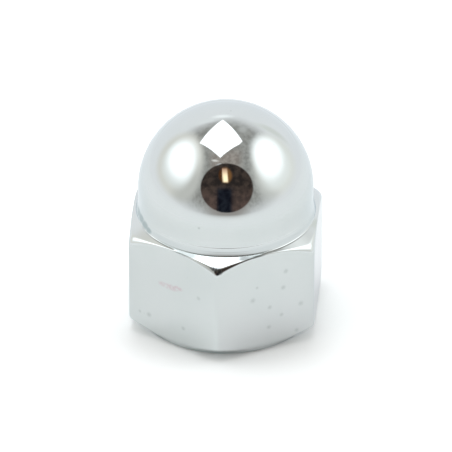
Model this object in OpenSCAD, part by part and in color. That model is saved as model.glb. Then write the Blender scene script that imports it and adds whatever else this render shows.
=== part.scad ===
// Cap nut: a hexagon nut with a domed, closed crown, turned in one piece from hexagon bar.
// The bearing face lies on z = 0, the axis is +Z, and two of the six flats face +X and -X.

/* [Hexagon] */
// Width across two opposite flats, where the spanner grips
across_flats = 10; // [8:0.1:13]
// Height from the bearing face to the foot of the crown
hex_h = 6.25; // [4:0.05:9]
// How much the lathe takes off each sharp upright corner
corner_trim = 0.05; // [0.01:0.01:0.3]

/* [Chamfers] */
// Slope of the top chamfer, from the foot of the crown down to the corners, in degrees
top_chamfer_slope = 31; // [20:1:40]
// Slope of the lower chamfer, from the washer face out to the corners, in degrees
lower_chamfer_slope = 32; // [25:1:50]
// Height of the washer face, the low round collar that the nut bears on
washer_h = 0.2; // [0.05:0.05:0.6]
// Step from a flat in to the rim of the washer face
washer_inset = 0.2; // [0.05:0.05:0.6]

/* [Crown] */
// Step from a flat in to the straight side of the crown
crown_inset = 0.275; // [0.15:0.025:0.8]
// Height of the side, from the hexagon to where the dome starts
side_h = 1.35; // [0.6:0.025:4]
// Height of the flare that widens the foot of the side, which the side's own height limits
flare_h = 0.9; // [0.2:0.05:1.2]
// How far the flare stands out from the side
flare_out = 0.125; // [0.05:0.025:0.14]
// Metal left over the tip of the drilled hole
crown_wall = 2.5; // [1.5:0.1:4]

/* [Thread] */
// Outer diameter of the thread that is cut in the hole
thread_d = 6; // [4:0.5:8]
// Pitch of the thread: the hole is drilled this much smaller than the thread
thread_pitch = 1; // [0.5:0.05:1.25]
// Full angle of the drill's point, in degrees
drill_point = 118; // [90:1:135]
// Full angle of the countersink at the mouth, in degrees
countersink = 90; // [60:5:120]
// How far the countersink opens beyond the thread, all round
mouth_clearance = 0.25; // [0.1:0.05:0.5]

/* [Hidden] */
$fn = 180;

// The hexagon: half its width across the flats, its sharp corners, and what is left of them
flat_r = across_flats / 2;
sharp_r = flat_r / cos(30);
corner_r = sharp_r - corner_trim;
washer_r = flat_r - washer_inset;

// The crown: a straight side, a flare at its foot, and a half sphere
crown_r = flat_r - crown_inset;
foot_r = crown_r + flare_out;
dome_z = hex_h + side_h;
total_h = dome_z + crown_r;
// The arc of the flare leaves the side smoothly and ends at the foot
flare_top = min(flare_h, side_h);
flare_r = (pow(flare_top, 2) + pow(flare_out, 2)) / (2 * flare_out);

// The height at which each chamfer leaves the corners
lower_corner_z = washer_h + (corner_r - washer_r) * tan(lower_chamfer_slope);
upper_corner_z = hex_h - (corner_r - foot_r) * tan(top_chamfer_slope);

// The hole: countersink, straight wall, and the cone that the drill's point leaves
hole_r = (thread_d - thread_pitch) / 2;
mouth_r = thread_d / 2 + mouth_clearance;
countersink_depth = (mouth_r - hole_r) / tan(countersink / 2);
hole_tip_z = total_h - crown_wall;
hole_depth = hole_tip_z - hole_r / tan(drill_point / 2);

// Half section that the lathe leaves of the hexagon: washer face, two chamfers and the corners
module hexagon_section() {
    polygon([
        [0, 0],
        [washer_r, 0],
        [washer_r, washer_h],
        [corner_r, lower_corner_z],
        [corner_r, upper_corner_z],
        [foot_r, hex_h],
        [0, hex_h]
    ]);
}

// Half section of the crown: flared foot, straight side and half sphere
module crown_section() {
    difference() {
        translate([0, hex_h])
            square([foot_r, flare_top]);
        translate([crown_r + flare_r, hex_h + flare_top])
            circle(r = flare_r);
    }
    translate([0, hex_h])
        square([crown_r, side_h]);
    translate([0, dome_z])
        intersection() {
            circle(r = crown_r);
            square(crown_r);
        }
}

// Everything that lies inside the lathe's cut, as if the bar were round
module turned_form() {
    rotate_extrude() {
        hexagon_section();
        crown_section();
    }
}

// The bar: six flats and sharp corners, two of them along +Y and -Y, a little longer than the nut
module hexagon_bar() {
    spare = 1;
    rotate(30)
        cylinder(r = sharp_r, h = total_h + spare, $fn = 6);
}

// The blind hole for the thread, begun below the bearing face so that its mouth is cut clean
module threaded_hole() {
    below = 0.5;
    rotate_extrude()
        polygon([
            [0, -below],
            [mouth_r + below * tan(countersink / 2), -below],
            [hole_r, countersink_depth],
            [hole_r, hole_depth],
            [0, hole_tip_z]
        ]);
}

// The whole nut: where the chamfers meet the flats they leave the curved upper and lower edges
module cap_nut() {
    color("silver")
        difference() {
            intersection() {
                hexagon_bar();
                turned_form();
            }
            threaded_hole();
        }
}

cap_nut();
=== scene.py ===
# %% [markdown]
# # A chromed cap nut
# A cap nut is a hexagon nut whose thread is closed by a dome, so that it covers the end of a bolt.
# This one is turned from hexagon bar in one piece, drilled and tapped from below, polished and
# chromed. The solid model fixes its sizes. This lesson gives it soft edges, a cut thread and a
# plated finish, and sets it in a small studio of white cloth. It begins by loading the solid model,
# because every size below is measured from it.

# %% Load the solid model
import math

import bpy
import numpy as np
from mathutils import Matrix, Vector


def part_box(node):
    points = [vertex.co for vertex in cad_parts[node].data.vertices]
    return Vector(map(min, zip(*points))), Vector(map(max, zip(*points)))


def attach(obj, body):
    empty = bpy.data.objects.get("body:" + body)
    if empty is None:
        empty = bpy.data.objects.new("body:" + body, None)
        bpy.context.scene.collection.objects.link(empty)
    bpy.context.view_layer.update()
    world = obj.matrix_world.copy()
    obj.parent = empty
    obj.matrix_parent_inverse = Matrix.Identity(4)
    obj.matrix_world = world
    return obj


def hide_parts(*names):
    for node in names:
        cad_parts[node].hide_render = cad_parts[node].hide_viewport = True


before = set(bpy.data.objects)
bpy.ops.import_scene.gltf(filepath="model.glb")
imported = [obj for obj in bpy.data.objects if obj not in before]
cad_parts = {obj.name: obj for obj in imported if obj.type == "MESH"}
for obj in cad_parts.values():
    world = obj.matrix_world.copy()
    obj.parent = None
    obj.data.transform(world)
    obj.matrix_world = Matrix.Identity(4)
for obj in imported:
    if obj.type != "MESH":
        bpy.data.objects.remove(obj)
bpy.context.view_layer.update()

# %% [markdown]
# ## Sizes
# The nut is worked out in millimetres and turned into metres at the end. Its width across the
# flats and its height are read from the solid model's box. The other sizes are those of the
# turned section, named as a turner would name them.

# %% Sizes of the nut
MM = 0.001
nut_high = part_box("cap_nut")[1]
flat_r = nut_high[0] / MM
total_h = nut_high[2] / MM

hex_h = 6.25
bearing_r = flat_r - 0.2
crown_r = flat_r - 0.275
flare_out, flare_h = 0.125, 0.9
foot_r = crown_r + flare_out
dome_z = total_h - crown_r
flare_r = (flare_h**2 + flare_out**2) / (2 * flare_out)
washer_h = 0.2
lower_slope, top_slope = math.tan(math.radians(32)), math.tan(math.radians(29.5))
land_w, land_slope = 0.08, math.tan(math.radians(25))

hole_r, mouth_r, metal_over_tip = 2.5, 3.25, 2.5
hole_tip_z = total_h - metal_over_tip
drill_half_angle = math.radians(59)
hole_depth = hole_tip_z - hole_r / math.tan(drill_half_angle)
pitch, thread_depth = 1.0, 0.5
print(f"across flats {2 * flat_r:.2f} mm, height {total_h:.2f} mm, hole {hole_tip_z:.2f} mm deep")

# %% [markdown]
# ## The hexagon
# Bar stock has six flats and corners that the polishing wheel has softened. Seen from above, its
# outline is a distance from the axis for each direction, so one formula describes it. It could be
# drawn as a six-sided prism with a bevel, but then the cone-shaped chamfers would not follow it.

# %% Outline of the bar
corner_soft = 0.325
corner_centre = (flat_r - corner_soft) / math.cos(math.pi / 6)
flat_end = math.atan((flat_r - corner_soft) * math.tan(math.pi / 6) / flat_r)


def hexagon_reach(turn):
    """Distance from the axis to the side of the bar, for each direction in radians.

    On a flat it is flat_r / cos(angle from the middle of the flat). Past flat_end the side is a
    small arc round a centre that lies on the line to the corner.
    """
    off = (turn + math.pi / 6) % (math.pi / 3) - math.pi / 6
    from_corner = math.pi / 6 - np.abs(off)
    half_chord = corner_soft**2 - (corner_centre * np.sin(from_corner)) ** 2
    arc = corner_centre * np.cos(from_corner) + np.sqrt(np.maximum(half_chord, 0))
    return np.where(np.abs(off) < flat_end, flat_r / np.cos(off), arc)


def one_sector(flat_steps=38, corner_steps=5):
    """Directions from one corner to the next: wide steps on the flat, fine ones on the corners."""
    edge = math.pi / 6
    return np.concatenate([
        np.linspace(-edge, -flat_end, corner_steps, endpoint=False),
        np.linspace(-flat_end, flat_end, flat_steps, endpoint=False),
        np.linspace(flat_end, edge, corner_steps, endpoint=False),
    ])


turns = np.concatenate([one_sector() + side * math.pi / 3 for side in range(6)])
reach = hexagon_reach(turns)
print(f"{len(turns)} slices, corners at {reach.max():.3f} mm")

# %% [markdown]
# ## Slices
# A slice is the outline of the metal in one direction from the axis: the bearing face, a lower
# chamfer, a flat, the top chamfer, a narrow land, a flared foot, a straight side and the dome.
# Every slice has the same corners in the same order, so all of them are worked out together as
# whole arrays. A real edge is never sharp, and on chrome its small radius is what shows as a line,
# so each corner gets an arc instead of a Bevel modifier, which would not know how the radius
# changes.

# %% Tools for slices


def ring(radius, height):
    """One row of points, a radius and a height for each slice."""
    return np.stack(np.broadcast_arrays(radius + 0 * turns, height), axis=-1)


def unit(directions):
    """The same directions with length 1."""
    return directions / np.linalg.norm(directions, axis=-1, keepdims=True)


def round_corner(before, corner, after, radius, steps):
    """Rows of an arc that rounds one corner of every slice.

    The arc touches both sides at radius / tan(half the angle between them) from the corner, and
    its centre lies on the line that halves that angle. Its points are turned evenly from the
    first touching point to the last.
    """
    back, on = unit(before - corner), unit(after - corner)
    opening = np.arccos(np.clip((back * on).sum(-1), -1, 1))[:, None]
    radius = np.broadcast_to(radius, turns.shape)[:, None]
    run = radius / np.tan(opening / 2)
    centre = corner + unit(back + on) * radius / np.sin(opening / 2)
    first, last = corner + back * run - centre, corner + on * run - centre
    sweep, share = math.pi - opening, np.linspace(0, 1, steps + 1)[:, None, None]
    return centre + (np.sin((1 - share) * sweep) * first + np.sin(share * sweep) * last) / np.sin(sweep)


def straight(first, last, shares):
    """Rows between two rows, at the given shares of the way."""
    shares = np.array(shares)[:, None, None]
    return first * (1 - shares) + last * shares


print("a right angle rounded by 1 mm:", round_corner(ring(0, 1), ring(0, 0), ring(1, 0), 1, 2)[:, 0])

# %% [markdown]
# ## The outside
# The rows run from the mouth of the hole outward over the bearing face, up the flats and over the
# dome. The wheel rounds the top edge most at the six corners, where it meets the least metal, so
# that edge's radius grows toward them, and a little less so toward the front one. Beside the crease
# at the foot of the dome the tool left a land less than a tenth of a millimetre wide that is
# flatter than the chamfer: it catches the roof of the tent and shows as a thin bright band. Two
# turning marks run round the flare. They are shallow grooves, a few thousandths of a millimetre
# deep, and the wheel has nearly worn them away except toward the front.

# %% Corners of each slice
bearing_edge, washer_root = ring(bearing_r, 0), ring(bearing_r, washer_h)
lower_corner = ring(reach, washer_h + (reach - bearing_r) * lower_slope)
foot, land_edge = ring(foot_r, hex_h), ring(foot_r + land_w, hex_h - land_w * land_slope)
top_corner = ring(reach, land_edge[:, 1] - (reach - foot_r - land_w) * top_slope)
flare_turn = math.asin(flare_h / flare_r)
above_foot = foot + np.array([-math.sin(flare_turn), math.cos(flare_turn)])
print(f"top edge {top_corner[:, 1].min():.2f} to {top_corner[:, 1].max():.2f} mm high")

# %% Soft edges
mouth_soft, bearing_soft, washer_soft, lower_soft = 0.08, 0.05, 0.03, 0.2
land_soft, crease_soft = 0.5, 0.075
edge_soft, front_corner_soft, other_corner_soft = 0.07, 0.52, 0.66
corner_share = (reach - flat_r) / (reach.max() - flat_r)
at_front_corner = np.cos(turns + math.pi / 2) > math.cos(math.pi / 6)
corner_top_soft = np.where(at_front_corner, front_corner_soft, other_corner_soft)
top_soft = edge_soft + (corner_top_soft - edge_soft) * corner_share**1.4

mouth_rows = round_corner(ring(mouth_r - 0.4, 0.4), ring(mouth_r, 0), bearing_edge, mouth_soft, 4)
bearing_rows = round_corner(ring(mouth_r, 0), bearing_edge, washer_root, bearing_soft, 4)
washer_rows = round_corner(bearing_edge, washer_root, lower_corner, washer_soft, 3)
lower_rows = round_corner(washer_root, lower_corner, top_corner, lower_soft, 7)
top_rows = round_corner(lower_corner, top_corner, land_edge, top_soft, 14)
land_rows = round_corner(top_corner, land_edge, foot, land_soft, 3)
crease_rows = round_corner(land_edge, foot, above_foot, crease_soft, 4)
print(f"top edge rounded by {top_soft.min():.2f} mm on the flats, {top_soft.max():.2f} mm on the corners")

# %% The flare and its turning marks
mark_heights, mark_depths, mark_width = (0.25, 0.48), (0.0012, 0.0045), 0.02
deepest_turn = math.radians(-82)
near_mark = mark_width * np.linspace(-2.2, 2.2, 12)
flare_up = np.concatenate([[0.06, 0.12, 0.18], mark_heights[0] + near_mark, [0.33, 0.4],
                           mark_heights[1] + near_mark, [0.57, 0.68, 0.79, flare_h]])
flare_wider = flare_r - np.sqrt(flare_r**2 - (flare_h - flare_up) ** 2)
flare_rows = np.stack([ring(crown_r + wider, hex_h + up) for wider, up in zip(flare_wider, flare_up)])
marked_part = 0.3 + 0.7 * np.exp(-((np.cos(turns - deepest_turn) - 1) / 0.12) ** 2)
for mark, depth in zip(mark_heights, mark_depths):
    cut = depth * np.exp(-(((flare_up - mark) / mark_width) ** 2))
    flare_rows[..., 0] -= cut[:, None] * marked_part
print(f"{len(flare_rows)} rows of flare with {len(mark_heights)} turning marks")

# %% Rows of the outside
dome_turns = np.linspace(0, math.pi / 2, 72, endpoint=False)
dome_rows = np.stack([
    ring(crown_r * math.cos(rise), dome_z + crown_r * math.sin(rise)) for rise in dome_turns
])
flat_shares = [0.01, 0.03, 0.14, 0.29, 0.43, 0.57, 0.71, 0.86, 0.97, 0.99]
outside = np.concatenate([
    mouth_rows,
    straight(mouth_rows[-1], bearing_rows[0], [0.02, 0.25, 0.5, 0.75, 0.98]),
    bearing_rows,
    straight(bearing_rows[-1], washer_rows[0], [0.1, 0.5, 0.9]),
    washer_rows,
    straight(washer_rows[-1], lower_rows[0], [0.1, 0.5, 0.9]),
    lower_rows,
    straight(lower_rows[-1], top_rows[0], flat_shares),
    top_rows,
    straight(top_rows[-1], land_rows[0], [0.1, 0.3, 0.5, 0.7, 0.9]),
    land_rows,
    crease_rows,
    flare_rows,
    straight(flare_rows[-1], dome_rows[0], [0.05, 0.35, 0.65, 0.95]),
    dome_rows,
])
print(f"{len(outside)} rows outside")

# %% [markdown]
# ## The thread
# The tap cuts a right-hand thread into the drilled hole. Its rows follow the helix: each one climbs
# by a pitch in one turn round the axis and then becomes the row that began a pitch higher. Level
# rows would cross the ridges and show saw teeth. The cut grows shallower toward the end of the
# hole, where only the taper of the tap has been.

# %% Rows of the thread
rows_per_pitch = 14
thread_top, thread_bottom = hole_depth - 0.25, 0.1
full_depth_z, last_cut_z = 5.9, 7.7


def thread_reach(turn, height):
    """Radius of the tapped hole for each direction and height.

    The phase is height / pitch minus the share of a turn. Half-way through it lies the bottom of
    the groove, an eighth of a pitch wide, and from there the sides rise at 30 degrees to square.
    The countersink is a cone that takes away whatever reaches further in.
    """
    phase = (height / pitch - turn / (2 * math.pi)) % 1
    from_groove = np.abs(phase - 0.5) * pitch - pitch / 16
    cut = np.clip(1 - from_groove / (thread_depth * math.tan(math.pi / 6)), 0, 1)
    taper = np.clip((last_cut_z - height) / (last_cut_z - full_depth_z), 0, 1)
    thread = hole_r + thread_depth * cut * taper
    return np.maximum(thread, mouth_r - height)


climb = pitch / rows_per_pitch
row_count = math.ceil((thread_top - thread_bottom + pitch) / climb) + 1
free_z = thread_top - climb * np.arange(row_count)[:, None] + pitch * turns / (2 * math.pi)
thread_z = np.clip(free_z, thread_bottom, thread_top)
thread_rows = np.stack([thread_reach(turns[None, :], thread_z), thread_z], axis=-1)

drill_shares = np.array([0.05, 0.3, 0.6, 0.9])
drill_rows = np.stack([
    ring(hole_r * share, hole_tip_z - share * (hole_tip_z - hole_depth)) for share in drill_shares
])
inside = np.concatenate([drill_rows, ring(hole_r, hole_depth)[None], thread_rows])
print(f"{row_count} rows of thread, {(last_cut_z - thread_bottom) / pitch:.1f} turns")

# %% [markdown]
# ## One closed skin
# Rows and slices make a grid of four-sided faces, closed by a fan of triangles at the tip of the
# hole and at the top of the dome. Thread rows that are cut off at the top or the bottom lie on the
# same ring there, so their points are shared and empty faces dropped. The shading directions are
# worked out from the surface itself, so that the flats stay truly flat in a reflection right up to
# their soft edges. In the hole they are left to Blender, which takes a direction of zero to mean
# its own.

# %% A number for each point
slices = len(turns)
rows = np.concatenate([inside, outside])
first_thread = len(drill_rows) + 1
last_thread = first_thread + row_count - 1

point_index = np.arange(len(rows) * slices).reshape(len(rows), slices)
at_top = free_z >= thread_top
at_bottom = free_z <= thread_bottom
thread_index = point_index[first_thread:last_thread + 1]
thread_index = np.where(at_top, thread_index[0], thread_index)
thread_index = np.where(at_bottom, thread_index[-1], thread_index)
point_index[first_thread:last_thread + 1] = thread_index

right_index = np.roll(point_index, -1, axis=1)
wrapped = np.maximum(np.arange(row_count) - rows_per_pitch, 0)
right_index[first_thread:last_thread + 1, -1] = thread_index[wrapped, 0]
print(f"{len(rows)} rows of {slices} points")

# %% Faces of the skin
corners = np.stack([point_index[:-1], right_index[:-1], right_index[1:], point_index[1:]], axis=-1)
corners = corners.reshape(-1, 4)
whole = (corners != np.roll(corners, 1, axis=1)).all(axis=1)
quads = corners[whole]
halves = np.concatenate([corners[~whole][:, [0, 1, 2]], corners[~whole][:, [0, 2, 3]]])
triangles = halves[(halves != np.roll(halves, 1, axis=1)).all(axis=1)]

tip, top = len(rows) * slices, len(rows) * slices + 1
tip_fan = np.stack([np.full(slices, tip), np.roll(point_index[0], -1), point_index[0]], axis=1)
top_fan = np.stack([np.full(slices, top), point_index[-1], np.roll(point_index[-1], -1)], axis=1)
triangles = np.concatenate([triangles, tip_fan, top_fan])
print(f"{len(quads)} four-sided faces and {len(triangles)} triangles")

# %% Points and shading directions
all_turns = np.broadcast_to(turns, rows.shape[:2])
points = np.stack([
    rows[..., 0] * np.cos(all_turns), rows[..., 0] * np.sin(all_turns), rows[..., 1]
], axis=-1)

skin = points[len(inside):]
along = np.roll(skin, -1, axis=1) - np.roll(skin, 1, axis=1)
upward = np.gradient(skin, axis=0)
skin_normals = unit(np.cross(along, upward))
normals = np.concatenate([np.zeros((len(inside), slices, 3)), skin_normals]).reshape(-1, 3)
normals = np.concatenate([normals, [[0, 0, 0], [0, 0, 1]]])
points = np.concatenate([points.reshape(-1, 3), [[0, 0, hole_tip_z], [0, 0, total_h]]]) * MM
print(f"highest point {points[:, 2].max() / MM:.3f} mm")

# %% The nut's mesh
used = np.unique(np.concatenate([quads.ravel(), triangles.ravel()]))
new_number = np.zeros(len(points), int)
new_number[used] = np.arange(len(used))
faces = new_number[quads].tolist() + new_number[triangles].tolist()

skin_mesh = bpy.data.meshes.new("nut_body")
skin_mesh.from_pydata(points[used], [], faces)
skin_mesh.polygons.foreach_set("use_smooth", np.ones(len(faces), bool))
skin_mesh.normals_split_custom_set_from_vertices(normals[used])
skin_mesh.update()
nut_body = bpy.data.objects.new("nut_body", skin_mesh)
bpy.context.scene.collection.objects.link(nut_body)
print(f"{len(used)} points, {2 * len(quads) + len(triangles)} triangles in all")

# %% [markdown]
# ## Nodes by hand
# A material is a small diagram of nodes, which could be drawn by hand in the Shader Editor. A few
# helpers keep it short in writing: they place a node and plug in its values, do arithmetic with
# numbers, vectors, masks and colours, and make and use groups. Most of them hand back the result,
# so that one can be written inside another.

# %% Placing a node


def put(tree, kind, plugs=None, **settings):
    """Places one node with its settings. A plug fills one input, with a value or a node's output."""
    node = tree.nodes.new(kind)
    for name, value in settings.items():
        setattr(node, name, value)
    for name, value in (plugs or {}).items():
        if isinstance(value, bpy.types.NodeSocket):
            tree.links.new(value, node.inputs[name])
        else:
            node.inputs[name].default_value = value
    return node


print("put() is ready")

# %% Arithmetic with nodes


def sum_of(tree, operation, *values):
    """The result of one step of arithmetic."""
    return put(tree, "ShaderNodeMath", dict(enumerate(values)), operation=operation).outputs[0]


def all_of(tree, *masks):
    """Where every one of several masks is on: their product."""
    shared = masks[0]
    for mask in masks[1:]:
        shared = sum_of(tree, "MULTIPLY", shared, mask)
    return shared


def any_of(tree, *masks):
    """Where at least one of several masks is on: the highest of them."""
    joined = masks[0]
    for mask in masks[1:]:
        joined = sum_of(tree, "MAXIMUM", joined, mask)
    return joined


def vector_of(tree, operation, *values):
    """The result of one step of vector arithmetic: a number for lengths and dot products."""
    node = put(tree, "ShaderNodeVectorMath", dict(enumerate(values)), operation=operation)
    return node.outputs["Value" if operation in ("LENGTH", "DOT_PRODUCT") else "Vector"]


print("arithmetic is ready")

# %% Ramps and colours


def ramp(tree, value, start, end, low=0.0, high=1.0):
    """Follows value from low, where it is start, to high, where it is end, easing in and out."""
    plugs = {"Value": value, "From Min": start, "From Max": end, "To Min": low, "To Max": high}
    return put(tree, "ShaderNodeMapRange", plugs, interpolation_type="SMOOTHSTEP").outputs["Result"]


def blend_colours(tree, share, first, second):
    """A colour between two others. The mixing node keeps its colours on sockets 6, 7 and 2."""
    plugs = {0: share, 6: first, 7: second}
    return put(tree, "ShaderNodeMix", plugs, data_type="RGBA").outputs[2]


print("ramps and colours are ready")

# %% Helpers for groups


def new_group(name, inputs):
    """An empty group with named inputs and a mask as its result: the group, its inputs, its mask."""
    tree = bpy.data.node_groups.new(name, "ShaderNodeTree")
    for label, value in inputs.items():
        kind = "NodeSocketVector" if isinstance(value, tuple) else "NodeSocketFloat"
        tree.interface.new_socket(label, in_out="INPUT", socket_type=kind).default_value = value
    tree.interface.new_socket("Mask", in_out="OUTPUT", socket_type="NodeSocketFloat")
    incoming, outgoing = tree.nodes.new("NodeGroupInput"), tree.nodes.new("NodeGroupOutput")
    return tree, incoming.outputs, outgoing.inputs["Mask"]


def use_group(tree, group, plugs):
    """Places a group with its own values and hands back its one result."""
    return put(tree, "ShaderNodeGroup", plugs, node_tree=group).outputs[0]


print("helpers for groups ready")

# %% [markdown]
# ## Pits in the plating
# Chrome shows every flaw of the metal below it. The nut has shallow pinholes one or two tenths of a
# millimetre wide, some of them scattered over it and some at places of their own. A pit is a spot
# round a point, so one group measures the distance to that point and turns it into a mask, with an
# edge as soft as its Softness says. The scattered ones come from a cell pattern whose cells are
# mostly left empty.

# %% Groups for pits
pit_group, given, mask = new_group("pit_at_a_point", {
    "Place": (0.0, 0.0, 0.0), "Centre": (0.0, 0.0, 0.0), "Stretch": (1.0, 1.0, 1.0),
    "Radius": 0.05, "Softness": 0.4,
})
away = vector_of(pit_group, "SUBTRACT", given["Place"], given["Centre"])
away = vector_of(pit_group, "MULTIPLY", away, given["Stretch"])
share = sum_of(pit_group, "DIVIDE", vector_of(pit_group, "LENGTH", away), given["Radius"])
outer_share = sum_of(pit_group, "ADD", 0.9, given["Softness"])
inner_share = sum_of(pit_group, "SUBTRACT", 0.9, given["Softness"])
pit_group.links.new(ramp(pit_group, share, outer_share, inner_share), mask)

scatter_group, given, mask = new_group("scattered_pits", {
    "Place": (0.0, 0.0, 0.0), "Cells per mm": 1.1, "Share": 0.3, "Radius": 0.05,
})
cells = put(scatter_group, "ShaderNodeTexVoronoi", {
    "Vector": given["Place"], "Scale": given["Cells per mm"],
}).outputs
size = sum_of(scatter_group, "MULTIPLY", given["Radius"], given["Cells per mm"])
share = sum_of(scatter_group, "DIVIDE", cells["Distance"], size)
chance = put(scatter_group, "ShaderNodeSeparateColor", {"Color": cells["Color"]}).outputs[0]
chosen = sum_of(scatter_group, "LESS_THAN", chance, given["Share"])
scatter_group.links.new(all_of(scatter_group, ramp(scatter_group, share, 1.2, 0.5), chosen), mask)
print("groups:", pit_group.name, scatter_group.name)

# %% [markdown]
# ## Chrome
# Chrome plate is a mirror with a cool tint. On a small cheap part it isn't perfect: the polish
# underneath leaves a slow waviness, the plating is cloudier in patches, there are pits, and a
# finger has left a smear of pink paste on one flat. Round the foot of the dome the plate is
# painted darker as painted shade, and on the left a crescent is painted darker still as a painted
# dark reflection. The crease at the front is painted darker too, as painted shade, and the land
# beside it has darker marks here and there, most of all at the right end of the bright face over
# the front corner. The top of that corner has a dark spot of painted dark reflection, which trails
# off to the left. The plating doesn't reach far into the hole, so the thread fades from bright at
# the mouth to duller steel. All of it is one material, because it is one piece, and every pattern
# reads the object's own coordinates in millimetres.

# %% The plated finish
chrome = bpy.data.materials.new("chrome_plate")
chrome.use_nodes = True
tree = chrome.node_tree
tree.nodes.clear()

coordinates = put(tree, "ShaderNodeTexCoord").outputs["Object"]
per_mm = (1 / MM, 1 / MM, 1 / MM)
place = put(tree, "ShaderNodeMapping", {"Vector": coordinates, "Scale": per_mm}).outputs[0]
split = put(tree, "ShaderNodeSeparateXYZ", {"Vector": place}).outputs
across_axis = put(tree, "ShaderNodeCombineXYZ", {"X": split["X"], "Y": split["Y"]}).outputs[0]
from_axis = vector_of(tree, "LENGTH", across_axis)

cloud = put(tree, "ShaderNodeTexNoise", {"Vector": place, "Scale": 0.45, "Detail": 3.0}).outputs["Fac"]
grain = put(tree, "ShaderNodeTexNoise", {"Vector": place, "Scale": 6.0, "Detail": 4.0}).outputs["Fac"]
wave = put(tree, "ShaderNodeTexNoise", {"Vector": place, "Scale": 0.9, "Detail": 1.0}).outputs["Fac"]
print("chrome:", cloud.node.name, grain.node.name, wave.node.name)

# %% Places on the nut
right_flat, left_flat = math.radians(-60), math.radians(-120)


def on_flat(direction, across, height):
    """A point on a flat: out to it along its direction, then sideways along it, then up."""
    outward = Vector((math.cos(direction), math.sin(direction), 0))
    sideways = Vector((-outward.y, outward.x, 0))
    return outward * flat_r + sideways * across + Vector((0, 0, height))


def from_crease(start, end):
    """Mask that comes on between two heights, in mm above the crease, from start to end."""
    return ramp(tree, split["Z"], hex_h + start, hex_h + end)


def spot_at(centre, radius, softness=0.4, flatten=1.0):
    """Mask of a round spot on the nut. Its height is its width / flatten."""
    return use_group(tree, pit_group, {
        "Place": place, "Centre": centre, "Stretch": (1.0, 1.0, flatten),
        "Radius": radius, "Softness": softness,
    })


print("middle of the right flat at half its height:", tuple(on_flat(right_flat, 0, hex_h / 2)))

# %% Pits
# Pits with a place of their own: which flat, mm to the right of its middle, height, radius
own_pits = (
    (left_flat, -1.55, 1.5, 0.14), (left_flat, 0.7, 1.45, 0.12), (left_flat, 1.7, 3.75, 0.11),
    (left_flat, -2.15, 1.5, 0.08), (right_flat, -0.75, 3.45, 0.14), (right_flat, 0.25, 2.75, 0.12),
    (right_flat, 0.95, 2.1, 0.11), (right_flat, 2.1, 2.5, 0.14), (right_flat, 1.05, 3.8, 0.13),
    (right_flat, 1.2, 4.8, 0.13), (right_flat, 0.2, 1.5, 0.12), (right_flat, -0.5, 4.2, 0.08),
    (right_flat, 1.85, 0.85, 0.12), (right_flat, -3.05, 3.05, 0.09),
)
dome_pits, dome_pit_r, pit_softness = ((-1.05, -4.6, 7.85), (2.65, -1.3, 11.2)), 0.07, 0.75

pits = use_group(tree, scatter_group, {
    "Place": place, "Cells per mm": 1.15, "Share": 0.3, "Radius": 0.045,
})
for flat, across, height, radius in own_pits:
    pits = any_of(tree, pits, spot_at(on_flat(flat, across, height), radius, pit_softness))
for centre in dome_pits:
    pits = any_of(tree, pits, spot_at(centre, dome_pit_r, pit_softness))
print(f"{len(own_pits) + len(dome_pits)} pits with their own place")

# %% The pink smear
# Three dabs: mm to the right of the left flat's middle, height, radius
smear_dabs = ((-0.5, 3.8, 0.42), (-0.1, 3.78, 0.5), (0.3, 3.88, 0.38))
smear = any_of(tree, *(
    spot_at(on_flat(left_flat, across, height), radius, flatten=2.6)
    for across, height, radius in smear_dabs
))
smear = all_of(tree, smear, ramp(tree, grain, 0.3, 0.6))
print(f"a smear of {len(smear_dabs)} dabs")

# %% Painted shade round the foot and a painted dark crescent
# Its dabs: direction in degrees, mm above the crease, radius
crescent_dabs = (
    (-171, 0.41, 0.4), (-164, 0.36, 0.45), (-157, 0.31, 0.45), (-150, 0.22, 0.42), (-144.5, 0.15, 0.32),
)
# Painted shade: a patchy darker band round the foot of the dome above the crease; on the left, dabs of
# painted dark reflection make a crescent
patchy = ramp(tree, cloud, 0.35, 0.65, 0.15, 0.3)
painted_shade = all_of(tree, from_crease(0.03, 0.11), from_crease(0.45, 0.25), patchy)
for degrees, above, radius in crescent_dabs:
    turn, out = math.radians(degrees), foot_r - 0.07
    centre = (out * math.cos(turn), out * math.sin(turn), hex_h + above)
    painted_shade = any_of(tree, painted_shade, spot_at(centre, radius, flatten=1.9))
print(f"a dull band round the foot and a crescent of {len(crescent_dabs)} dabs")

# %% Painted shade in the crease, and darker marks on the land
# A line of painted shade in the crease, only at its front and not at its right
painted_crease_shade = all_of(
    tree, from_crease(-0.035, -0.015), from_crease(0.065, 0.04),
    ramp(tree, from_axis, foot_r + 0.06, foot_r + 0.04),
    ramp(tree, split["Y"], -3.2, -3.9, 0.0, 0.8), ramp(tree, split["X"], 2.9, 2.3),
)
# Darker marks on the land, at both ends of the bright face over the front corner
on_land = all_of(tree, from_crease(-0.15, -0.11), ramp(tree, from_axis, foot_r + 0.02, foot_r + 0.05))
land_marks = any_of(
    tree, spot_at(on_flat(left_flat, 0.85, hex_h - 0.07), 0.75),
    spot_at(on_flat(right_flat, -0.8, hex_h - 0.07), 0.75),
)
land_marks = all_of(tree, land_marks, on_land)
# The darkest of these marks, at the right end of that bright face
darkest_land_mark = all_of(tree, spot_at(on_flat(right_flat, -1.22, hex_h - 0.09), 0.36), on_land)
print("dried polish in the crease and on the land")

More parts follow.
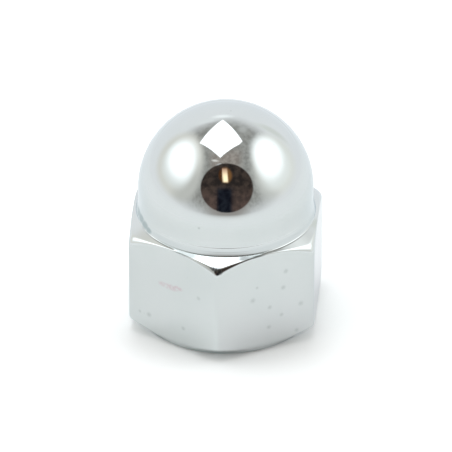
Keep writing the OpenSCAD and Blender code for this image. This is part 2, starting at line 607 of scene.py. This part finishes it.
# %% Painted dark reflection at the front corner
# Its dabs of painted dark reflection and their trail: mm right of the axis, in front of it, below the
# crease, radius, softness
dark_spot_dabs = (
    (0.11, 5.52, 0.5, 0.2, 0.4), (-0.05, 5.51, 0.43, 0.14, 0.6),
    (-0.2, 5.5, 0.36, 0.11, 0.8), (-0.34, 5.48, 0.3, 0.08, 0.8),
)
painted_dark_spot = any_of(tree, *(
    spot_at((right, -front, hex_h - below), radius, softness)
    for right, front, below, radius, softness in dark_spot_dabs
))
print(f"a bruise of {len(dark_spot_dabs)} dabs")

# %% The thread's duller metal
below_tip = ramp(tree, split["Z"], hole_tip_z + 0.2, hole_tip_z + 0.1)
bare = all_of(
    tree, ramp(tree, from_axis, mouth_r, 3.0), below_tip, ramp(tree, split["Z"], 0.1, 2.5, 0.35, 1.0))
print("bare metal from the mouth of the hole to its tip")

# %% Colour, roughness and relief
cloudy = ramp(tree, cloud, 0.3, 0.7)
plate = blend_colours(tree, cloudy, (0.660, 0.699, 0.702, 1), (0.680, 0.714, 0.718, 1))
# Of these marks, the darker band round the foot, the crease line and the dark spot at the front corner
# are painted shade and painted dark reflection
coloured_marks = (
    (smear, (0.640, 0.585, 0.610, 1)),
    (painted_shade, (0.41, 0.47, 0.48, 1)),
    (pits, (0.56, 0.60, 0.60, 1)),
    (land_marks, (0.31, 0.34, 0.34, 1)),
    (darkest_land_mark, (0.2, 0.215, 0.215, 1)),
    (painted_crease_shade, (0.42, 0.47, 0.47, 1)),
    (painted_dark_spot, (0.08, 0.085, 0.09, 1)),
)
for mark, colour in coloured_marks:
    plate = blend_colours(tree, mark, plate, colour)
steel = blend_colours(tree, grain, (0.30, 0.29, 0.27, 1), (0.42, 0.40, 0.37, 1))
metal = blend_colours(tree, bare, plate, steel)

roughness = ramp(tree, grain, 0.35, 0.65, 0.02, 0.045)
for mark, added in ((pits, 0.2), (smear, 0.15), (any_of(tree, painted_dark_spot, painted_crease_shade), 0.35), (bare, 0.22)):
    roughness = sum_of(tree, "ADD", roughness, sum_of(tree, "MULTIPLY", mark, added))

# Heights of the relief in mm: slow waves, fine grain and the pits
height = 0.0
for pattern, scale in ((wave, 0.0012), (grain, 0.00006), (pits, -0.002)):
    height = sum_of(tree, "ADD", height, sum_of(tree, "MULTIPLY", pattern, scale))
relief = put(tree, "ShaderNodeBump", {"Height": height, "Strength": 1.0, "Distance": MM}).outputs[0]

print(f"{len(coloured_marks)} kinds of mark on the plate")

# %% The chrome on the nut
surface = put(tree, "ShaderNodeBsdfPrincipled", {
    "Base Color": metal, "Metallic": 1.0, "Roughness": roughness, "Normal": relief,
    "Specular Tint": (0.91, 0.94, 0.97, 1.0),
})
put(tree, "ShaderNodeOutputMaterial", {"Surface": surface.outputs[0]})
skin_mesh.materials.append(chrome)

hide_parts("cap_nut")
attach(nut_body, "root")
print("nut_body rides on root")

# %% [markdown]
# ## The paper
# The nut stands on white paper. Metal mirrors whatever is round it, so the flats show this paper,
# darker near the foot where the nut keeps the light off. For mirrored rays the sheet changes with
# the distance from the nut: first it is paper in the tent's own light, shadow and all, with painted
# light added near the nut, more on its left than on its right, then evenly bright, and at last it
# fades away, so that no line shows in the dome where it meets the walls.
# The sheet has a round window under the bearing face, which nothing above can see: it lets the
# underside be looked at from below, and for the same reason the back of the sheet is clear.

# %% The sheet
sheet_radii, sheet_z = np.array([bearing_r - 0.08, 8, 14, 30, 120]), -0.004
sheet_turns = np.linspace(0, 2 * math.pi, 96, endpoint=False)
sheet_x, sheet_y = np.outer(sheet_radii, np.cos(sheet_turns)), np.outer(sheet_radii, np.sin(sheet_turns))
sheet_points = np.stack([sheet_x, sheet_y, np.full_like(sheet_x, sheet_z)], axis=-1)
grid = np.arange(sheet_x.size).reshape(sheet_x.shape)
next_grid = np.roll(grid, -1, axis=1)
sheet_faces = np.stack([grid[:-1], grid[1:], next_grid[1:], next_grid[:-1]], axis=-1)
sheet_mesh = bpy.data.meshes.new("paper_sheet")
sheet_mesh.from_pydata(sheet_points.reshape(-1, 3) * MM, [], sheet_faces.reshape(-1, 4).tolist())
paper_sheet = bpy.data.objects.new("paper_sheet", sheet_mesh)
bpy.context.scene.collection.objects.link(paper_sheet)
print("sheet, from radius", sheet_radii[0], "to", sheet_radii[-1], "mm")

# %% White paper
paper = bpy.data.materials.new("white_paper")
paper.use_nodes = True
tree = paper.node_tree
tree.nodes.clear()
ray = put(tree, "ShaderNodeLightPath").outputs
mirrored = any_of(tree, ray["Is Glossy Ray"], ray["Is Transmission Ray"])
on_sheet = put(tree, "ShaderNodeTexCoord").outputs["Object"]
from_nut = sum_of(tree, "DIVIDE", vector_of(tree, "LENGTH", on_sheet), MM)
sheet_across = put(tree, "ShaderNodeSeparateXYZ", {"Vector": on_sheet}).outputs["X"]
# Painted light: as mirrored, the paper within 6 to 12 mm of the nut is brighter, more on its left than on
# its right
to_the_right = ramp(tree, sheet_across, -MM, 2 * MM)
painted_light_near_foot = blend_colours(tree, to_the_right, (1.07, 1.09, 1.09, 1), (1.02, 1.02, 1.03, 1))
in_metal = blend_colours(tree, ramp(tree, from_nut, 6, 12), painted_light_near_foot, (0.98, 1.0, 1.0, 1))
white = blend_colours(tree, mirrored, (0.8, 0.8, 0.8, 1), in_metal)
white = blend_colours(tree, ray["Is Camera Ray"], white, (1.17, 1.19, 1.20, 1))
lit = put(tree, "ShaderNodeBsdfDiffuse", {"Color": white}).outputs[0]
clear = put(tree, "ShaderNodeBsdfTransparent").outputs[0]
even = put(tree, "ShaderNodeEmission", {"Color": (1.04, 1.06, 1.06, 1), "Strength": 1.0}).outputs[0]
past_shadow = all_of(tree, ramp(tree, from_nut, 16, 28), mirrored)
lit = put(tree, "ShaderNodeMixShader", {0: past_shadow, 1: lit, 2: even}).outputs[0]
far = all_of(tree, ramp(tree, from_nut, 30, 110), mirrored)
back_side = put(tree, "ShaderNodeNewGeometry").outputs["Backfacing"]
see_through = any_of(tree, back_side, far)
either = put(tree, "ShaderNodeMixShader", {0: see_through, 1: lit, 2: clear}).outputs[0]
put(tree, "ShaderNodeOutputMaterial", {"Surface": either})
sheet_mesh.materials.append(paper)
print("paper for the sheet:", paper.name)

# %% [markdown]
# ## The tent
# The light comes from a tent of white cloth with a lamp behind its left and right walls. What shows
# in the dome is that tent: two lamps that glow through the cloth, each with a pale halo round it
# on a wall that grows dimmer lower down, a bright diamond where the roof is folded open, a front
# wall in painted shade, grey and browner in its middle, patches of painted light and shade at the
# back and low in front, and the dark round opening that the lens looks through.
# A tent could be built from lit panels, but it is far away for such a small object, so it is
# painted on the world by direction. Places on it are given as on a sky map, in degrees from
# straight up: the first number to the right, the second toward the viewer.

# %% The viewer's place
azimuth, elevation, distance = math.radians(4.85), math.radians(32.75), 0.5
print(f"the lens is {distance} m away, {math.degrees(elevation):.2f} degrees up")

# %% A map of the tent
world = bpy.data.worlds.new("cloth_tent")
bpy.context.scene.world = world
world.use_nodes = True
tree = world.node_tree
tree.nodes.clear()

direction = put(tree, "ShaderNodeTexCoord").outputs["Generated"]
direction = put(tree, "ShaderNodeMapping", {"Vector": direction, "Rotation": (0, 0, -azimuth)}).outputs[0]
axes = put(tree, "ShaderNodeSeparateXYZ", {"Vector": direction}).outputs
from_zenith = sum_of(tree, "DEGREES", sum_of(tree, "ARCCOSINE", axes["Z"]))
toward_lens = sum_of(tree, "MULTIPLY", axes["Y"], -1.0)
level = put(tree, "ShaderNodeCombineXYZ", {"X": axes["X"], "Y": toward_lens}).outputs[0]
level = vector_of(tree, "NORMALIZE", level)
sky = put(tree, "ShaderNodeVectorMath", {0: level, "Scale": from_zenith}, operation="SCALE").outputs[0]
print("map of the tent, in degrees from straight up")

# %% Ovals on the tent
oval_group, given, mask = new_group("oval_on_the_tent", {
    "Place": (0.0, 0.0, 0.0), "Centre": (0.0, 0.0, 0.0), "Half size": (1.0, 1.0, 1.0),
    "Inner edge": 0.7, "Outer edge": 1.3,
})
away = vector_of(oval_group, "SUBTRACT", given["Place"], given["Centre"])
share = vector_of(oval_group, "LENGTH", vector_of(oval_group, "DIVIDE", away, given["Half size"]))
oval_group.links.new(ramp(oval_group, share, given["Outer edge"], given["Inner edge"]), mask)


def oval(centre, half_size, inner, outer=1.0, lean=0.0):
    """Mask of an oval on the tent: 1 inside its inner edge and 0 beyond its outer edge.

    Both edges are shares of its half size. The oval is turned by lean, in radians, by turning the
    sky the other way round its centre.
    """
    turned = put(tree, "ShaderNodeVectorRotate", {
        "Vector": sky, "Center": (*centre, 0), "Angle": -lean,
    }, rotation_type="Z_AXIS").outputs[0]
    return use_group(tree, oval_group, {
        "Place": turned, "Centre": (*centre, 0), "Half size": (*half_size, 1),
        "Inner edge": inner, "Outer edge": outer,
    })


print("group:", oval_group.name)

# %% The front wall, in painted shade
mottle = put(tree, "ShaderNodeTexNoise", {
    "Vector": sky, "Scale": 0.16, "Detail": 4.0, "Roughness": 0.6,
}).outputs["Fac"]
mottle = ramp(tree, mottle, 0.36, 0.64)
# Painted shade: the white cloth of the front wall is painted dark grey, browner in its middle, with a
# lighter patch at its upper right
grey_cloth_in_shade = blend_colours(tree, mottle, (0.335, 0.33, 0.31, 1), (0.455, 0.45, 0.425, 1))
brown_cloth_in_shade = blend_colours(tree, mottle, (0.33, 0.285, 0.255, 1), (0.47, 0.42, 0.38, 1))
sky_axes = put(tree, "ShaderNodeSeparateXYZ", {"Vector": sky}).outputs
toward_viewer = sky_axes["Y"]
in_the_middle = ramp(tree, sum_of(tree, "ABSOLUTE", sky_axes["X"]), 26, 12)
browner = all_of(tree, in_the_middle, ramp(tree, toward_viewer, -5, 20))
front_wall_in_shade = blend_colours(tree, browner, grey_cloth_in_shade, brown_cloth_in_shade)
front_wall_in_shade = blend_colours(tree, oval((17, -26), (7, 9), 0.2), front_wall_in_shade, (0.57, 0.57, 0.55, 1))
cloth = blend_colours(tree, oval((0, 28), (90, 81), 0.66), (1.0, 1.01, 1.02, 1), front_wall_in_shade)
print("front wall, mottled grey and brown")

# %% The walls, the lamps and the folds
low_down = ramp(tree, toward_viewer, 8, 42)
left_colour = blend_colours(tree, low_down, (0.92, 0.90, 0.84, 1), (0.71, 0.70, 0.66, 1))
right_colour = blend_colours(tree, low_down, (1.0, 1.0, 0.94, 1), (0.79, 0.79, 0.75, 1))
# Each part is painted over the ones before it: its oval and its colour
tent_parts = {
    "left wall": (oval((-59, 4), (37, 60), 0.72), left_colour),
    "right wall": (oval((61, 2), (36, 60), 0.6), right_colour),
    "left halo": (oval((-60, 0), (27, 42), 0.6), (1.06, 1.08, 1.06, 1)),
    "right halo": (oval((61, 0), (28, 44), 0.6), (1.10, 1.12, 1.09, 1)),
    "left lamp": (oval((-53.5, -0.5), (26, 39.5), 0.25), (1.92, 1.96, 1.98, 1)),
    "right lamp": (oval((51, -2.5), (27.5, 39), 0.35, lean=-0.14), (1.80, 1.84, 1.86, 1)),
    # Painted light and painted shade on the cloth at the back, and painted shade low in front
    "painted light at the back": (oval((-18, -44), (20, 8), 0.2), (1.0, 1.02, 1.02, 1)),
    "brighter painted light at the back": (oval((-3, -48.5), (14, 5.5), 0.1), (1.24, 1.27, 1.27, 1)),
    "painted shade at the back": (oval((43, -49), (24, 9), 0.2, lean=-0.35), (0.87, 0.89, 0.85, 1)),
    "painted shade low in front": (oval((2, 84), (56, 30), 0.3), (0.40, 0.37, 0.35, 1)),
    "upper glint": (oval((-14, 22), (4.5, 1.6), 0.3, 1.4, lean=0.3), (0.95, 0.92, 0.88, 1)),
    "lower glint": (oval((-9.5, 28), (4, 1.5), 0.3, 1.4, lean=-0.3), (0.72, 0.72, 0.72, 1)),
}
for mask, colour in tent_parts.values():
    cloth = blend_colours(tree, mask, cloth, colour)
print("painted on the tent:", ", ".join(tent_parts))

# %% The folded-open roof
roof_corners = [(-2.8, -40.9), (18.1, -7.2), (15.3, -1.9), (-7.2, 18.7), (-28.8, -8.9)]
# How far, in degrees, a direction lies past the line through each side; inside, all are negative
sides_passed = []
for (x0, y0), (x1, y1) in zip(roof_corners, roof_corners[1:] + roof_corners[:1]):
    length = math.hypot(x1 - x0, y1 - y0)
    outward = ((y1 - y0) / length, (x0 - x1) / length, 0)
    past = vector_of(tree, "DOT_PRODUCT", sky, outward)
    past = sum_of(tree, "SUBTRACT", past, outward[0] * x0 + outward[1] * y0)
    sides_passed.append(past)
beyond = any_of(tree, *sides_passed)
cloth = blend_colours(tree, ramp(tree, beyond, 1.0, -1.2), cloth, (2.6, 2.65, 2.7, 1))
print("diamond with corners at", roof_corners)

# %% The opening for the lens
view_back = (0, -math.cos(elevation), math.sin(elevation))
view_up = (0, math.sin(elevation), math.cos(elevation))
across = sum_of(tree, "SUBTRACT", axes["X"], 0.02)
upward = sum_of(tree, "ADD", vector_of(tree, "DOT_PRODUCT", direction, view_up), 0.032)
# It is a little wider than it is high
from_centre = put(tree, "ShaderNodeCombineXYZ", {
    "X": across, "Y": sum_of(tree, "MULTIPLY", upward, 1.06),
}).outputs[0]
facing = ramp(tree, vector_of(tree, "DOT_PRODUCT", direction, view_back), 0.3, 0.4)
opening = all_of(tree, facing, ramp(tree, vector_of(tree, "LENGTH", from_centre), 0.586, 0.55))
print("opening for the lens, seen from the nut:", view_back)

# %% The room behind the opening
blotch = put(tree, "ShaderNodeTexNoise", {
    "Vector": direction, "Scale": 7.0, "Detail": 3.0, "Roughness": 0.6,
}).outputs["Fac"]
blotch = ramp(tree, blotch, 0.35, 0.65)
room_high = blend_colours(tree, blotch, (0.030, 0.024, 0.022, 1), (0.075, 0.055, 0.045, 1))
room_low = blend_colours(tree, blotch, (0.085, 0.060, 0.052, 1), (0.150, 0.098, 0.082, 1))
room = blend_colours(tree, ramp(tree, upward, 0.15, -0.4), room_high, room_low)

from_stand = sum_of(tree, "ABSOLUTE", sum_of(tree, "ADD", across, 0.05))
stand = all_of(tree, ramp(tree, from_stand, 0.25, 0.11), ramp(tree, upward, 0.08, -0.08))
stand_colour = blend_colours(tree, blotch, (0.008, 0.009, 0.015, 1), (0.019, 0.023, 0.032, 1))
room = blend_colours(tree, stand, room, stand_colour)

# A small warm lamp hangs above the stand, leaning a little: a glowing strip and a halo round it
leaning = sum_of(tree, "MULTIPLY", upward, -0.08)
beside = sum_of(tree, "SUBTRACT", sum_of(tree, "ADD", across, 0.012), leaning)
above = sum_of(tree, "SUBTRACT", upward, 0.28)
from_lamp = put(tree, "ShaderNodeCombineXYZ", {
    "X": sum_of(tree, "DIVIDE", beside, 0.175), "Y": sum_of(tree, "DIVIDE", above, 0.2),
}).outputs[0]
halo = ramp(tree, vector_of(tree, "LENGTH", from_lamp), 1.05, 0.6)
right_of_lamp = ramp(tree, beside, -0.05, 0.05)
halo_colour = blend_colours(tree, right_of_lamp, (0.11, 0.040, 0.012, 1), (0.28, 0.13, 0.045, 1))
room = blend_colours(tree, halo, room, halo_colour)
strip = all_of(
    tree, ramp(tree, sum_of(tree, "ABSOLUTE", beside), 0.075, 0.03),
    ramp(tree, sum_of(tree, "ABSOLUTE", above), 0.18, 0.12),
)
lower_end = ramp(tree, above, 0.16, -0.05)
strip_colour = blend_colours(tree, lower_end, (0.75, 0.45, 0.30, 1), (1.8, 1.45, 0.95, 1))
room = blend_colours(tree, strip, room, strip_colour)
cloth = blend_colours(tree, opening, cloth, room)
print("room: dark walls, a stand and a small warm lamp")

# %% The finished world
ray = put(tree, "ShaderNodeLightPath").outputs
shown = blend_colours(tree, ray["Is Camera Ray"], cloth, (1.0, 1.0, 1.0, 1))
glow = put(tree, "ShaderNodeBackground", {"Color": shown, "Strength": 1.0}).outputs[0]
put(tree, "ShaderNodeOutputWorld", {"Surface": glow})
print("world:", world.name)

# %% [markdown]
# ## The camera
# A nut this small is best seen from far off through a long lens, which keeps its upright edges
# nearly parallel. The camera looks down at it from a third of the way up, a little to the right of
# the front corner. Standard view keeps the colours as they are written.

# %% Camera
level_share = math.cos(elevation)
back = Vector((math.sin(azimuth) * level_share, -math.cos(azimuth) * level_share, math.sin(elevation)))
sideways = Vector((math.cos(azimuth), math.sin(azimuth), 0))
aim = Vector((0, 0, 5.09 * MM)) + sideways * 0.0085 * MM

lens = bpy.data.cameras.new("camera")
lens.sensor_width, lens.lens = 36.0, 739.6
lens.clip_start, lens.clip_end = 0.01, 10.0
camera = bpy.data.objects.new("camera", lens)
camera.location = aim + back * distance
camera.rotation_mode = "QUATERNION"
camera.rotation_quaternion = (-back).to_track_quat("-Z", "Y")
bpy.context.scene.collection.objects.link(camera)
bpy.context.scene.camera = camera
bpy.context.scene.view_settings.view_transform = "Standard"
print("camera at", tuple(round(metres, 4) for metres in camera.location))
